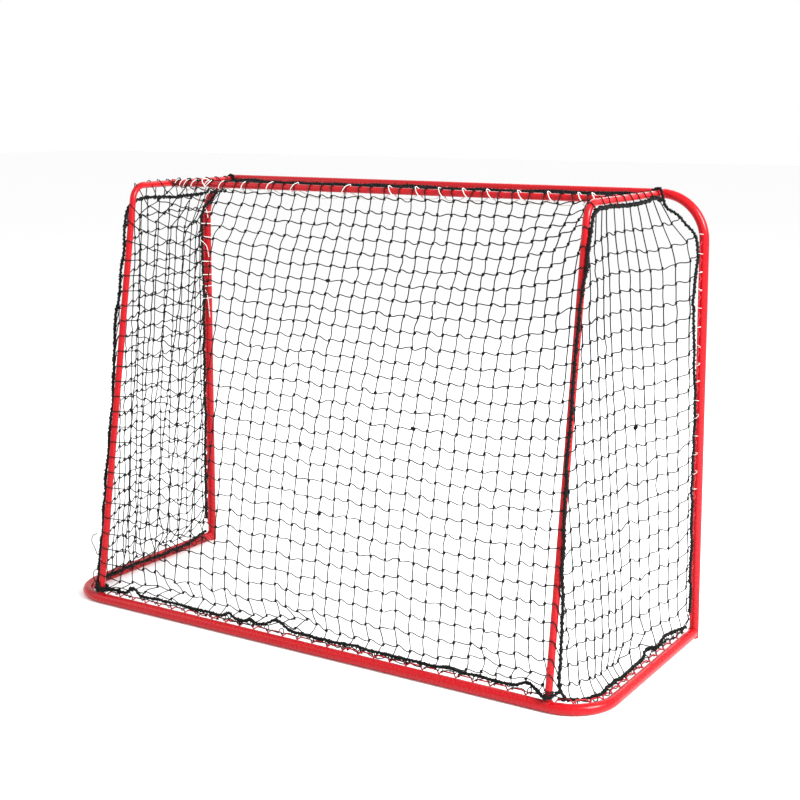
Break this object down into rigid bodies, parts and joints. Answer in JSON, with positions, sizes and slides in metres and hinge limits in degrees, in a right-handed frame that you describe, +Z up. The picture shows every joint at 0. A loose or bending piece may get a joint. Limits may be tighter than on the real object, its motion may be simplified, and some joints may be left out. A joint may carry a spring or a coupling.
{
  "type": "hockey goal",
  "caption": "Free-standing hockey goal: a welded red tube frame with a U-shaped base, wavy net wire and a black knotted net roped and laced to it.",
  "frame": {"origin": "on the floor under the middle of the goal's box", "axes": "+Z up, the mouth faces -Y, X across the goal, left and right as seen from behind"},
  "size_m": [1.652, 0.6566, 1.175],
  "materials": {
    "red_paint": "gloss",
    "wire_paint": "gloss",
    "weld_paint": "gloss",
    "plug_plastic": "matte",
    "net_twine": "matte",
    "net_rope": "matte",
    "white_cord": "matte"
  },
  "bodies": {
    "root": {"mouth_frame": "red_paint", "base_tube": "red_paint", "left_stay": "red_paint", "right_stay": "red_paint", "rear_top_bar": "red_paint", "rear_base_wire": "wire_paint", "left_base_wire": "wire_paint", "right_base_wire": "wire_paint", "mouth_top_wire": "wire_paint", "mouth_left_wire": "wire_paint", "mouth_right_wire": "wire_paint", "stay_foot_welds": "weld_paint", "depth_bar_welds": "weld_paint", "rear_bar_welds": "weld_paint", "base_end_welds": "weld_paint", "left_foot_plug": "plug_plastic", "right_foot_plug": "plug_plastic", "back_net": "net_twine", "top_net": "net_twine", "left_net": "net_twine", "right_net": "net_twine", "left_seam_rope": "net_rope", "right_seam_rope": "net_rope", "rear_border_rope": "net_rope", "left_border_rope": "net_rope", "right_border_rope": "net_rope", "left_mouth_rope": "net_rope", "right_mouth_rope": "net_rope", "top_mouth_rope": "net_rope", "base_lacing": "net_rope", "left_foot_lashing": "net_rope", "right_foot_lashing": "net_rope", "rear_bar_lacing": "white_cord", "left_post_lacing": "white_cord", "right_post_lacing": "white_cord"}
  },
  "joints": []
}
